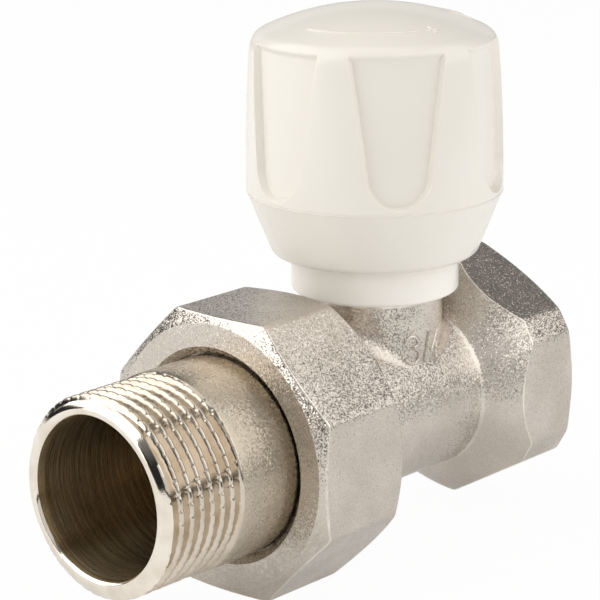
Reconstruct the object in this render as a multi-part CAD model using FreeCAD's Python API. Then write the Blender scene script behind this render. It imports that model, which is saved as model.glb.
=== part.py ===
import FreeCAD
import Part
import math
import os

# Manual radiator valve, straight pattern, with a union tailpiece.
# Millimetres. The origin is the centre of the pipe socket's mouth.
# +X points out of the socket along the pipe, +Z up along the stem.

Vector = FreeCAD.Vector

# Clearances and fits
thread_clearance = 0.05
running_clearance = 0.05
seal_clearance = 0.1
loose_clearance = 0.3
axial_play = 0.1
end_clearance = 0.4

# Pipe socket and its hexagon
socket_r = 12.06
socket_depth = 11.0
hexagon_across_flats = 31.0
hexagon_across_bevels = 33.8
hexagon_height = 35.0
hexagon_edge_round = 0.4
socket_face_r = 15.3
socket_chamfer_angle = 35.0
socket_to_stem = 25.3

# Barrel, flare and neck of the body
barrel_r = 11.5
passage_r = 8.4
flare_start = 9.6
flare_length = 6.9
flare_rise = 5.8
flare_bulge = 0.35
flare_fillet = 3.0
neck_r = 9.25
neck_top = 17.5
saddle_fillet = 3.0

# Seat and the webs that part the two passages
seat_top = 0.5
seat_lip_height = 0.8
seat_hole_r = 5.2
seat_lip_width = 1.1
seat_web = 2.6
side_web = 2.0

# Union: spigot, nut and tailpiece
stem_to_union_face = 26.0
union_thread_length = 9.5
union_thread_chamfer = 1.0
spigot_shoulder_length = 3.5
nut_across_flats = 37.5
nut_wall = 2.815
nut_length = 15.5
nut_front_wall = 3.16
nut_face_inset = 0.95
nut_face_chamfer_angle = 22.0
nut_rear_inset = 0.15
nut_rear_chamfer_angle = 45.0
nut_edge_round = 0.8
nut_mouth_bevel = 0.96
nut_mouth_depth = 1.6
flange_thickness = 3.2
flange_step = 0.85
flange_lip = 1.635
nose_length = 3.6
nose_wall = 2.5
union_ring_section = 1.35
ring_groove_slack = 0.4

# Male thread of the tailpiece
tail_length = 25.04
tail_thread_relief = 0.18
tail_thread_pitch = 1.814
tail_thread_depth = 1.16
tail_thread_crests = 6
tail_crest_flat = 0.3
tail_first_crest = 2.28
tail_wall = 2.71
tail_face_ring = 0.9
tail_chamfer_rise = 1.35
tail_chamfer_length = 0.75

# Shut-off disc
disc_lift = 4.0
disc_seal_r = 6.6
disc_seal_thickness = 2.0
disc_rim_wall = 0.5
disc_rim_height = 1.2
disc_plate = 2.3
disc_boss_wall = 1.4
disc_boss_lip = 0.9
disc_screw_r = 1.5
disc_screw_grip = 2.0
disc_screw_head_r = 2.6
disc_screw_head_height = 1.8
disc_screw_slot = 0.7
disc_washer_r = 3.4
disc_washer_thickness = 0.7
retainer_thickness = 0.8

# Stem
stem_button_r = 2.8
stem_button_height = 1.5
stem_neck_r = 1.9
stem_screw_r = 4.0
stem_screw_engagement = 5.2
stem_shank_r = 3.0
stem_drive_flats = 4.6
stem_drive_length = 10.0

# Bonnet, packing and collar
bonnet_thread_r = 7.5
bonnet_hexagon_height = 4.5
bonnet_barrel_r = 7.0
bonnet_web = 1.6
gasket_thickness = 1.0
gasket_width = 0.85
packing_r = 5.0
stem_washer_thickness = 0.8
stem_ring_section = 1.9
stem_spacer_thickness = 0.6
gland_nose = 1.8
gland_hexagon = 12.0
gland_head = 2.5
collar_r = 11.5
collar_wall = 1.5
collar_bottom = 16.3
collar_bead = 0.5
collar_bead_height = 1.2
collar_edge_round = 0.6
collar_shown = 5.2
collar_hidden = 6.0

# Handwheel
wheel_r = 17.5
wheel_lip_r = 14.0
wheel_edge_height = 8.8
wheel_lip_round = 1.3
wheel_wall_height = 19.7
wheel_wall_taper = 0.65
wheel_wall_bulge = 0.17
wheel_shoulder_r = 16.0
wheel_shoulder_height = 1.6
wheel_shoulder_bulge = 0.21
wheel_dome_height = 3.95
wheel_cavity_clearance = 0.5
wheel_top_wall = 4.0
wheel_hub_wall = 2.2
wheel_rib = 1.6
wheel_ribs = 6
recess_count = 6
recess_depth = 1.0
recess_top_angle = 46.0
recess_bottom_width = 8.5
recess_gap = 0.7
recess_rise = 1.1
recess_first_angle = -8.8
clip_thickness = 0.8
clip_height = 1.2
clip_gap = 2.0

# Cutting blocks reach this many times past what they cut, and edges match within this distance
cut_reach = 4
match_tolerance = 0.001

# Places along the pipe
stem_x = -socket_to_stem
socket_floor = -socket_depth
union_face = stem_x - stem_to_union_face
flange_front = union_face - flange_thickness
nut_front = flange_front - nut_front_wall
nut_rear = nut_front + nut_length
tail_front = flange_front - tail_length
nose_end = union_face + nose_length
spigot_rear = union_face + union_thread_length
flare_slope = math.atan2(flare_rise, flare_length)
flare_root = stem_x + flare_start
flare_tip = flare_root + flare_length
flare_foot = flare_root - flare_fillet * math.tan(flare_slope / 2)

# Radii of the union, from the nut's flats inwards
nut_bore_r = nut_across_flats / 2 - nut_wall
nut_face_r = nut_across_flats / 2 - nut_face_inset
nut_rear_face_r = nut_across_flats / 2 - nut_rear_inset
spigot_r = nut_bore_r - thread_clearance
flange_r = spigot_r - flange_step
tail_tube_r = flange_r - flange_lip
tail_thread_r = tail_tube_r - tail_thread_relief
tail_bore_r = tail_tube_r - tail_wall
nut_throat_r = tail_tube_r + loose_clearance
nut_mouth_r = nut_throat_r + nut_mouth_bevel

# Radii that follow from the fits
nose_bore_r = passage_r
nose_r = nose_bore_r + nose_wall
nose_socket_r = nose_r + seal_clearance
ring_groove_r = nose_socket_r - seal_clearance - union_ring_section
chamber_r = bonnet_thread_r + thread_clearance
disc_rim_r = disc_seal_r + running_clearance + disc_rim_wall
button_pocket_r = stem_button_r + seal_clearance
boss_r = button_pocket_r + disc_boss_wall
stem_hole_r = stem_shank_r + running_clearance
collar_pocket_r = collar_r - collar_wall
collar_grip_r = collar_pocket_r - collar_bead
bonnet_hexagon = 2 * (collar_pocket_r - loose_clearance) * math.cos(math.pi / 6)
wheel_cavity_r = collar_r + wheel_cavity_clearance
wheel_hub_r = stem_shank_r + wheel_hub_wall

# Heights, stacked up from the seat
seat_floor = seat_top - seat_lip_height
web_bottom = seat_floor - seat_web
seal_top = seat_top + disc_seal_thickness
pocket_floor = seal_top + disc_plate
button_top = pocket_floor + stem_button_height
retainer_bottom = button_top + axial_play
retainer_top = retainer_bottom + retainer_thickness
disc_top = retainer_top + disc_boss_lip
stem_screw_bottom = disc_top + end_clearance
bonnet_bottom = disc_top + disc_lift + end_clearance
stem_screw_top = bonnet_bottom + stem_screw_engagement
screw_stop = stem_screw_top + disc_lift + end_clearance
packing_floor = screw_stop + bonnet_web
stem_washer_top = packing_floor + stem_washer_thickness
lower_ring_top = stem_washer_top + stem_ring_section
stem_spacer_top = lower_ring_top + stem_spacer_thickness
upper_ring_top = stem_spacer_top + stem_ring_section
bonnet_top = upper_ring_top + gland_nose
gland_top = bonnet_top + gland_head
bonnet_hexagon_bottom = neck_top + gasket_thickness
bonnet_hexagon_top = bonnet_hexagon_bottom + bonnet_hexagon_height
wheel_bottom = collar_bottom + collar_shown
collar_top = wheel_bottom + disc_lift + collar_hidden
wheel_edge = wheel_bottom + wheel_edge_height
wheel_wall_top = wheel_edge + wheel_wall_height
wheel_shoulder = wheel_wall_top + wheel_shoulder_height
wheel_top = wheel_shoulder + wheel_dome_height
wheel_ceiling = wheel_top - wheel_top_wall
hub_bottom = gland_top + end_clearance
stem_top = hub_bottom + stem_drive_length


def outline_face(outline, place):
    """Face of a closed outline. A step is a point, or the middle and end of an arc."""
    edges = []
    start = place(*outline[0])
    for step in outline[1:] + outline[:1]:
        if isinstance(step[0], tuple):
            middle, end = [place(*point) for point in step]
            edges.append(Part.Arc(start, middle, end).toShape())
        else:
            end = place(*step)
            edges.append(Part.LineSegment(start, end).toShape())
        start = end
    return Part.Face(Part.Wire(edges))


def turned_on_pipe(*outline):
    """Solid turned about the pipe's axis, from steps of (x, radius)."""
    face = outline_face(list(outline), lambda x, radius: Vector(x, 0, radius))
    return face.revolve(Vector(0, 0, 0), Vector(1, 0, 0), 360)


def turned_on_stem(*outline):
    """Solid turned about the stem's axis, from steps of (radius, z)."""
    face = outline_face(list(outline), lambda radius, z: Vector(stem_x + radius, 0, z))
    return face.revolve(Vector(stem_x, 0, 0), Vector(0, 0, 1), 360)


def pipe_cylinder(radius, start, end):
    return Part.makeCylinder(radius, end - start, Vector(start, 0, 0), Vector(1, 0, 0))


def stem_cylinder(radius, bottom, top):
    return Part.makeCylinder(radius, top - bottom, Vector(stem_x, 0, bottom))


def stem_ring(inner_r, outer_r, bottom, top):
    return stem_cylinder(outer_r, bottom, top).cut(stem_cylinder(inner_r, bottom, top))


def polygon(sides, across_flats, turn, place):
    """Face of a regular polygon. The first flat looks along the angle turn, in degrees."""
    corner_r = across_flats / 2 / math.cos(math.pi / sides)
    corners = []
    for index in range(sides + 1):
        angle = math.radians(turn) + (index + 0.5) * 2 * math.pi / sides
        corners.append(place(corner_r * math.cos(angle), corner_r * math.sin(angle)))
    return Part.Face(Part.makePolygon(corners))


def pipe_prism(sides, across_flats, turn, start, end):
    face = polygon(sides, across_flats, turn, lambda y, z: Vector(start, y, z))
    return face.extrude(Vector(end - start, 0, 0))


def pipe_slab(across, turn, start, end):
    """Slab along the pipe between two flats. One of them looks along the angle turn."""
    reach = cut_reach * across
    slab = Part.makeBox(end - start, across, reach, Vector(start, -across / 2, -reach / 2))
    slab.rotate(Vector(0, 0, 0), Vector(1, 0, 0), turn)
    return slab


def stem_prism(sides, across_flats, turn, bottom, top):
    face = polygon(sides, across_flats, turn, lambda x, y: Vector(stem_x + x, y, bottom))
    return face.extrude(Vector(0, 0, top - bottom))


def round_long_edges(prism, radius):
    """Prism with the edges along the pipe rounded."""
    long_edges = []
    for edge in prism.Edges:
        start, end = [vertex.Point for vertex in edge.Vertexes]
        if abs(start.y - end.y) + abs(start.z - end.z) < match_tolerance:
            long_edges.append(edge)
    return prism.makeFillet(radius, long_edges)


def half_space(side, height):
    """Block that reaches past the whole body, above or below a height."""
    reach = cut_reach * max(socket_to_stem, stem_to_union_face)
    low = height if side == "above" else height - reach
    return Part.makeBox(reach, reach, reach, Vector(stem_x - reach / 2, -reach / 2, low))


def make_barrel_and_neck():
    barrel = pipe_cylinder(barrel_r, spigot_rear, flare_tip)
    neck = stem_cylinder(neck_r, 0, neck_top)
    joined = barrel.fuse(neck).removeSplitter()
    saddle = []
    for edge in joined.Edges:
        middle = edge.valueAt((edge.FirstParameter + edge.LastParameter) / 2)
        on_neck = abs(math.hypot(middle.x - stem_x, middle.y) - neck_r) < match_tolerance
        on_barrel = abs(math.hypot(middle.y, middle.z) - barrel_r) < match_tolerance
        if on_neck and on_barrel:
            saddle.append(edge)
    return joined.makeFillet(saddle_fillet, saddle)


def make_socket_end():
    """Hexagon of the pipe socket and the flare that leads down to the barrel."""
    tip_r = barrel_r + flare_rise
    half_slope = flare_slope / 2
    fillet_middle = (
        flare_foot + flare_fillet * math.sin(half_slope),
        barrel_r + flare_fillet * (1 - math.cos(half_slope)),
    )
    fillet_end = (
        flare_foot + flare_fillet * math.sin(flare_slope),
        barrel_r + flare_fillet * (1 - math.cos(flare_slope)),
    )
    flare_middle = (
        (fillet_end[0] + flare_tip) / 2 - flare_bulge * math.sin(flare_slope),
        (fillet_end[1] + tip_r) / 2 + flare_bulge * math.cos(flare_slope),
    )
    chamfer_x = -(tip_r - socket_face_r) * math.tan(math.radians(socket_chamfer_angle))
    blank = turned_on_pipe(
        (flare_foot, 0),
        (flare_foot, barrel_r),
        (fillet_middle, fillet_end),
        (flare_middle, (flare_tip, tip_r)),
        (chamfer_x, tip_r),
        (0, socket_face_r),
        (0, 0),
    )
    hexagon = pipe_prism(6, hexagon_across_flats, 0, flare_foot, 0)
    for across, turn in [(hexagon_across_bevels, 30), (hexagon_across_bevels, 150), (hexagon_height, 90)]:
        hexagon = hexagon.common(pipe_slab(across, turn, flare_foot, 0))
    return blank.common(round_long_edges(hexagon, hexagon_edge_round))


def make_spigot():
    return turned_on_pipe(
        (union_face, 0),
        (union_face, spigot_r - union_thread_chamfer),
        (union_face + union_thread_chamfer, spigot_r),
        (spigot_rear, spigot_r),
        (spigot_rear + spigot_shoulder_length, barrel_r),
        (spigot_rear + spigot_shoulder_length, 0),
    )


def make_water_ways():
    """The low way from the socket, the high way to the union and the seat between them."""
    reach = chamber_r + side_web
    low_way = pipe_cylinder(passage_r, stem_x + reach, socket_floor)
    under_seat = pipe_cylinder(passage_r, stem_x - chamber_r, stem_x + reach)
    under_seat = under_seat.common(half_space("below", web_bottom))
    high_way = pipe_cylinder(passage_r, union_face, stem_x - reach)
    over_seat = pipe_cylinder(passage_r, stem_x - reach, stem_x)
    over_seat = over_seat.common(half_space("above", seat_floor))
    lip_r = seat_hole_r + seat_lip_width
    chamber = stem_cylinder(chamber_r, seat_floor, neck_top)
    chamber = chamber.cut(stem_cylinder(lip_r, seat_floor, seat_top))
    over_seat = over_seat.cut(stem_cylinder(lip_r, seat_floor, seat_top))
    seat_hole = stem_cylinder(seat_hole_r, web_bottom, seat_top)
    socket = pipe_cylinder(socket_r, socket_floor, 0)
    nose_socket = pipe_cylinder(nose_socket_r, union_face, nose_end + end_clearance)
    return [low_way, under_seat, high_way, over_seat, chamber, seat_hole, socket, nose_socket]


def make_valve_body():
    body = make_barrel_and_neck().fuse([make_socket_end(), make_spigot()]).removeSplitter()
    return body.cut(make_water_ways())


def make_union_nut():
    corner_r = nut_across_flats
    face_slope = math.tan(math.radians(nut_face_chamfer_angle))
    rear_slope = math.tan(math.radians(nut_rear_chamfer_angle))
    blank = turned_on_pipe(
        (nut_front, nut_mouth_r),
        (nut_front, nut_face_r),
        (nut_front + (corner_r - nut_face_r) * face_slope, corner_r),
        (nut_rear - (corner_r - nut_rear_face_r) * rear_slope, corner_r),
        (nut_rear, nut_rear_face_r),
        (nut_rear, nut_bore_r),
        (flange_front, nut_bore_r),
        (flange_front, nut_throat_r),
        (nut_front + nut_mouth_depth, nut_throat_r),
    )
    octagon = pipe_prism(8, nut_across_flats, 0, nut_front, nut_rear)
    return blank.common(round_long_edges(octagon, nut_edge_round))


def make_tailpiece():
    root_r = tail_thread_r - tail_thread_depth
    half_flat = tail_crest_flat / 2
    flank = (tail_thread_pitch - 2 * tail_crest_flat) / 2
    face_r = tail_bore_r + tail_face_ring
    first_crest = tail_front + tail_first_crest
    outline = [
        (tail_front, tail_bore_r),
        (tail_front, face_r),
        (tail_front + tail_chamfer_length, face_r + tail_chamfer_rise),
        (first_crest - half_flat - flank - tail_crest_flat, root_r),
        (first_crest - half_flat - flank, root_r),
    ]
    for index in range(tail_thread_crests):
        crest_x = first_crest + index * tail_thread_pitch
        outline.append((crest_x - half_flat, tail_thread_r))
        outline.append((crest_x + half_flat, tail_thread_r))
        outline.append((crest_x + half_flat + flank, root_r))
        outline.append((crest_x + half_flat + flank + tail_crest_flat, root_r))
    thread_end = outline[-1][0] + flank
    groove_middle = (union_face + nose_end) / 2
    groove_half = (union_ring_section + ring_groove_slack) / 2
    outline += [
        (thread_end, tail_tube_r),
        (flange_front, tail_tube_r),
        (flange_front, flange_r),
        (union_face, flange_r),
        (union_face, nose_r),
        (groove_middle - groove_half, nose_r),
        (groove_middle - groove_half, ring_groove_r),
        (groove_middle + groove_half, ring_groove_r),
        (groove_middle + groove_half, nose_r),
        (nose_end, nose_r),
        (nose_end, nose_bore_r),
        (union_face, nose_bore_r),
        (flange_front, tail_bore_r),
    ]
    return turned_on_pipe(*outline)


def make_union_oring():
    middle_x = (union_face + nose_end) / 2
    section_r = union_ring_section / 2
    return Part.makeTorus(ring_groove_r + section_r, section_r, Vector(middle_x, 0, 0), Vector(1, 0, 0))


def make_bonnet():
    turned = turned_on_stem(
        (stem_screw_r + thread_clearance, bonnet_bottom),
        (bonnet_thread_r, bonnet_bottom),
        (bonnet_thread_r, bonnet_hexagon_top),
        (bonnet_barrel_r, bonnet_hexagon_top),
        (bonnet_barrel_r, bonnet_top),
        (packing_r, bonnet_top),
        (packing_r, packing_floor),
        (stem_hole_r, packing_floor),
        (stem_hole_r, screw_stop),
        (stem_screw_r + thread_clearance, screw_stop),
    )
    hexagon = stem_prism(6, bonnet_hexagon, 0, bonnet_hexagon_bottom, bonnet_hexagon_top)
    hexagon = hexagon.cut(stem_cylinder(bonnet_barrel_r, bonnet_hexagon_bottom, bonnet_hexagon_top))
    return turned.fuse(hexagon).removeSplitter()


def make_bonnet_gasket():
    outer_r = chamber_r + gasket_width
    return stem_ring(chamber_r, outer_r, neck_top, bonnet_hexagon_bottom)


def make_stem_oring(bottom):
    section_r = stem_ring_section / 2 - running_clearance
    centre = Vector(stem_x, 0, bottom + stem_ring_section / 2)
    return Part.makeTorus((stem_shank_r + packing_r) / 2, section_r, centre, Vector(0, 0, 1))


def make_gland_nut():
    nose = stem_cylinder(packing_r - thread_clearance, upper_ring_top, bonnet_top)
    head = stem_prism(6, gland_hexagon, 0, bonnet_top, gland_top)
    return nose.fuse(head).cut(stem_cylinder(stem_hole_r, upper_ring_top, gland_top))


def make_bonnet_collar():
    hole_r = neck_r + loose_clearance
    round_off = collar_edge_round * (1 - math.sqrt(0.5))
    bead_top = bonnet_hexagon_top + collar_bead_height
    return turned_on_stem(
        (hole_r, collar_bottom),
        (collar_r - collar_edge_round, collar_bottom),
        ((collar_r - round_off, collar_bottom + round_off), (collar_r, collar_bottom + collar_edge_round)),
        (collar_r, collar_top),
        (collar_pocket_r, collar_top),
        (collar_pocket_r, bead_top),
        (collar_grip_r, bead_top),
        (collar_grip_r, bonnet_hexagon_top),
        (collar_pocket_r, bonnet_hexagon_top),
        (collar_pocket_r, bonnet_hexagon_bottom),
        (hole_r, bonnet_hexagon_bottom),
    )


def drive_shape(clearance, bottom, top):
    """Round shank with two flats that carries the wheel."""
    shank = stem_cylinder(stem_shank_r + clearance, bottom, top)
    width = stem_drive_flats + 2 * clearance
    reach = cut_reach * stem_shank_r
    corner = Vector(stem_x - reach / 2, -width / 2, bottom)
    return shank.common(Part.makeBox(reach, width, top - bottom, corner))


def make_stem():
    turned = turned_on_stem(
        (0, pocket_floor),
        (stem_button_r, pocket_floor),
        (stem_button_r, button_top),
        (stem_neck_r, button_top),
        (stem_neck_r, stem_screw_bottom),
        (stem_screw_r, stem_screw_bottom),
        (stem_screw_r, stem_screw_top),
        (stem_shank_r, stem_screw_top),
        (stem_shank_r, hub_bottom),
        (0, hub_bottom),
    )
    return turned.fuse(drive_shape(0, hub_bottom, stem_top)).removeSplitter()


def make_valve_disc():
    rim_bottom = seal_top - disc_rim_height
    disc = turned_on_stem(
        (0, seal_top),
        (disc_rim_r - disc_rim_wall, seal_top),
        (disc_rim_r - disc_rim_wall, rim_bottom),
        (disc_rim_r, rim_bottom),
        (disc_rim_r, pocket_floor),
        (boss_r, pocket_floor),
        (boss_r, disc_top),
        (button_pocket_r, disc_top),
        (button_pocket_r, pocket_floor),
        (0, pocket_floor),
    )
    screw_hole = stem_cylinder(disc_screw_r + thread_clearance, seal_top, seal_top + disc_screw_grip)
    return disc.cut(screw_hole)


def make_disc_screw():
    head_top = seat_top - disc_washer_thickness
    head_bottom = head_top - disc_screw_head_height
    head = stem_cylinder(disc_screw_head_r, head_bottom, head_top)
    shank = stem_cylinder(disc_screw_r, head_top, seal_top + disc_screw_grip)
    corner = Vector(stem_x - disc_screw_head_r, -disc_screw_slot / 2, head_bottom)
    slot = Part.makeBox(2 * disc_screw_head_r, disc_screw_slot, disc_screw_slot, corner)
    return head.fuse(shank).removeSplitter().cut(slot)


def make_wheel_blank():
    """Outside of the handwheel with its bell-shaped hollow."""
    lip_slope = math.atan2(wheel_r - wheel_lip_r, wheel_edge_height)
    lip_turn = (math.pi / 2 - lip_slope) / 2
    tangent = wheel_lip_round * math.tan(lip_turn)
    lip_centre_r = wheel_lip_r - tangent
    lip_centre_z = wheel_bottom + wheel_lip_round
    lip_middle = (
        lip_centre_r + wheel_lip_round * math.sin(lip_turn),
        lip_centre_z - wheel_lip_round * math.cos(lip_turn),
    )
    lip_end = (
        wheel_lip_r + tangent * math.sin(lip_slope),
        wheel_bottom + tangent * math.cos(lip_slope),
    )
    wall_top_r = wheel_r - wheel_wall_taper
    wall_middle = ((wheel_r + wall_top_r) / 2 + wheel_wall_bulge, (wheel_edge + wheel_wall_top) / 2)
    shoulder_middle = (
        (wall_top_r + wheel_shoulder_r) / 2 + wheel_shoulder_bulge,
        (wheel_wall_top + wheel_shoulder) / 2 + wheel_shoulder_bulge,
    )
    dome_r = (wheel_shoulder_r ** 2 + wheel_dome_height ** 2) / (2 * wheel_dome_height)
    half_r = wheel_shoulder_r / 2
    dome_middle = (half_r, wheel_top - dome_r + math.sqrt(dome_r ** 2 - half_r ** 2))
    return turned_on_stem(
        (wheel_cavity_r, wheel_bottom),
        (lip_centre_r, wheel_bottom),
        (lip_middle, lip_end),
        (wheel_r, wheel_edge),
        (wall_middle, (wall_top_r, wheel_wall_top)),
        (shoulder_middle, (wheel_shoulder_r, wheel_shoulder)),
        (dome_middle, (0, wheel_top)),
        (0, wheel_ceiling),
        (wheel_cavity_r, wheel_ceiling),
    )


def make_recesses():
    """Six tongue-shaped grip recesses, cut to one depth round the wall."""
    top_half = (wheel_r - recess_depth) * math.sin(math.radians(recess_top_angle / 2))
    bottom_r = recess_bottom_width / 2
    bottom_z = wheel_edge + recess_gap
    reach = 2 * wheel_r
    recess_top = wheel_wall_top + recess_rise
    tongue = outline_face(
        [
            (-top_half, recess_top),
            (-bottom_r, bottom_z + bottom_r),
            ((0, bottom_z), (bottom_r, bottom_z + bottom_r)),
            (top_half, recess_top),
        ],
        lambda y, z: Vector(stem_x, y, z),
    ).extrude(Vector(reach, 0, 0))
    floor_r = wheel_r - recess_depth
    floor_height = wheel_wall_height + recess_rise
    floor = Part.makeCone(floor_r, floor_r - wheel_wall_taper, floor_height, Vector(stem_x, 0, wheel_edge))
    tongue = tongue.cut(floor)
    recesses = []
    for index in range(recess_count):
        recess = tongue.copy()
        turn = recess_first_angle + index * 360 / recess_count
        recess.rotate(Vector(stem_x, 0, 0), Vector(0, 0, 1), turn)
        recesses.append(recess)
    return recesses


def make_handwheel():
    hub = stem_cylinder(wheel_hub_r, hub_bottom, wheel_ceiling)
    rib_bottom = (hub_bottom + wheel_ceiling) / 2
    ribs = []
    for index in range(wheel_ribs):
        corner = Vector(stem_x, -wheel_rib / 2, rib_bottom)
        rib = Part.makeBox(wheel_cavity_r + wheel_rib, wheel_rib, wheel_ceiling - rib_bottom, corner)
        rib.rotate(Vector(stem_x, 0, 0), Vector(0, 0, 1), index * 360 / wheel_ribs)
        ribs.append(rib)
    wheel = make_wheel_blank().cut(make_recesses())
    wheel = wheel.fuse([hub] + ribs).removeSplitter()
    return wheel.cut(drive_shape(thread_clearance, hub_bottom, stem_top))


def make_wheel_clip():
    bottom = hub_bottom + end_clearance
    clip = stem_ring(wheel_hub_r, wheel_hub_r + clip_thickness, bottom, bottom + clip_height)
    corner = Vector(stem_x, -clip_gap / 2, bottom)
    return clip.cut(Part.makeBox(wheel_cavity_r, clip_gap, clip_height, corner))


os.makedirs("parts", exist_ok=True)

nodes = {
    "valve_body": make_valve_body(),
    "union_nut": make_union_nut(),
    "tailpiece": make_tailpiece(),
    "union_oring": make_union_oring(),
    "bonnet": make_bonnet(),
    "bonnet_gasket": make_bonnet_gasket(),
    "stem_washer": stem_ring(stem_hole_r, packing_r, packing_floor, stem_washer_top),
    "stem_oring_lower": make_stem_oring(stem_washer_top),
    "stem_spacer": stem_ring(stem_hole_r, packing_r, lower_ring_top, stem_spacer_top),
    "stem_oring_upper": make_stem_oring(stem_spacer_top),
    "gland_nut": make_gland_nut(),
    "bonnet_collar": make_bonnet_collar(),
    "stem": make_stem(),
    "valve_disc": make_valve_disc(),
    "disc_seal": stem_ring(disc_screw_r + thread_clearance, disc_seal_r, seat_top, seal_top),
    "disc_washer": stem_ring(
        disc_screw_r + thread_clearance, disc_washer_r, seat_top - disc_washer_thickness, seat_top
    ),
    "disc_screw": make_disc_screw(),
    "disc_retainer": stem_ring(
        stem_neck_r + seal_clearance, button_pocket_r, retainer_bottom, retainer_top
    ),
    "handwheel": make_handwheel(),
    "wheel_clip": make_wheel_clip(),
}

for name, shape in nodes.items():
    shape.exportStep("parts/" + name + ".step")
    print(name, len(shape.Solids), shape.isValid(), round(shape.Volume, 1))
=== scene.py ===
import bpy
import bmesh
import math
import numpy as np
from mathutils import Matrix, Vector


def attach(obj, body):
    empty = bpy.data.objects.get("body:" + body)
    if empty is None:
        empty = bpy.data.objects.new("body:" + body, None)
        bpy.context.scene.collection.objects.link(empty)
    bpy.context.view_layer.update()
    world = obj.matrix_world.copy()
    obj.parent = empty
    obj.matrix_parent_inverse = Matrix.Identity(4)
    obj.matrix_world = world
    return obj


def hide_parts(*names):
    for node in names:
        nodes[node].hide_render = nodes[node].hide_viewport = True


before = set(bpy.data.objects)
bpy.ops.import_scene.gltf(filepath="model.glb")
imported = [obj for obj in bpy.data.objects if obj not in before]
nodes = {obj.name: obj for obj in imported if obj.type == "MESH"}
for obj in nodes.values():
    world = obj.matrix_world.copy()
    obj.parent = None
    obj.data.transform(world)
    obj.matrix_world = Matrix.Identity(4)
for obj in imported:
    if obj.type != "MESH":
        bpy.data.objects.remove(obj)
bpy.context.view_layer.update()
mm = 0.001  # sizes below are in millimetres
stemX = -25.3  # the stem's axis along the pipe
fullTurn = 2 * math.pi
print("frame loaded:", len(nodes), "nodes")


def hexToLinear(text):
    channels = [int(text[i:i + 2], 16) / 255 for i in (1, 3, 5)]
    return tuple(c / 12.92 if c <= 0.04045 else ((c + 0.055) / 1.055) ** 2.4 for c in channels) + (1,)


def addNode(tree, kind, inputs=None, stops=(), **settings):
    # an input is a value, a socket or a node, for its first output; stops are a ramp's places and colours
    node = tree.nodes.new("ShaderNode" + kind)
    for key, value in settings.items():
        setattr(node, key, value)
    for key, value in (inputs or {}).items():
        if isinstance(value, bpy.types.Node):
            value = value.outputs[0]
        if isinstance(value, bpy.types.NodeSocket):
            tree.links.new(value, node.inputs[key])
        else:
            node.inputs[key].default_value = value
    for index, (place, colour) in enumerate(stops):
        node.color_ramp.elements[index].position = place
        node.color_ramp.elements[index].color = hexToLinear(colour)
    return node


def newMaterial(name):
    material = bpy.data.materials.new(name)
    material.use_nodes = True
    material.node_tree.nodes.clear()
    return material, material.node_tree


def finishMaterial(material, tone, rough, bump, more):
    inputs = {"Base Color": tone, "Roughness": rough, "Normal": bump, **more}
    shader = addNode(material.node_tree, "BsdfPrincipled", inputs)
    addNode(material.node_tree, "OutputMaterial", {"Surface": shader})
    return material


def perMm(size):  # texture scale that gives features of this size in millimetres
    return 1 / (size * mm)


noiseRange = {"From Min": 0.3, "From Max": 0.7}  # a noise pattern mostly lies between these

# Nickel over brass, bead blasted before plating: a warm satin grey whose tiny dents
# each catch another part of the room
blastedNickelLook = {
    "tones": [(0.35, "#CBC3BA"), (0.65, "#D9D1C9")], "cloud": 9.0, "dent": 0.15, "tilt": 0.17,
    "patches": {"From Min": 0.2, "From Max": 0.8, "To Min": 0.91, "To Max": 1.09},
    "swell": 1.2, "depth": 0.008, "rough": {"To Min": 0.18, "To Max": 0.26},
    # the pale edge tone is a painted highlight, laid along edges, a crease and rims and broken up by noise;
    # the dents there are flattened
    "edge": "#F3EDE4", "highlightBreakup": 5.0, "highlightBreakupRange": {"From Min": 0.32, "From Max": 0.55}, "highlightSmoothing": 0.6,
}
# The tailpiece's tube was turned before a lighter blast: finer, softer and a shade yellower; its darker tones
# are partly painted shade, for the shade and dull reflections it gets beside the nut
satinNickelLook = {
    **blastedNickelLook, "tones": [(0.35, "#BFB5A4"), (0.65, "#C9C0B0")], "dent": 0.14, "tilt": 0.14,
    "patches": {"From Min": 0.2, "From Max": 0.8, "To Min": 0.94, "To Max": 1.06},
    "swell": 1.5, "depth": 0.003, "rough": {"To Min": 0.23, "To Max": 0.31}, "edge": "#EDE5D8",
}


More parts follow.
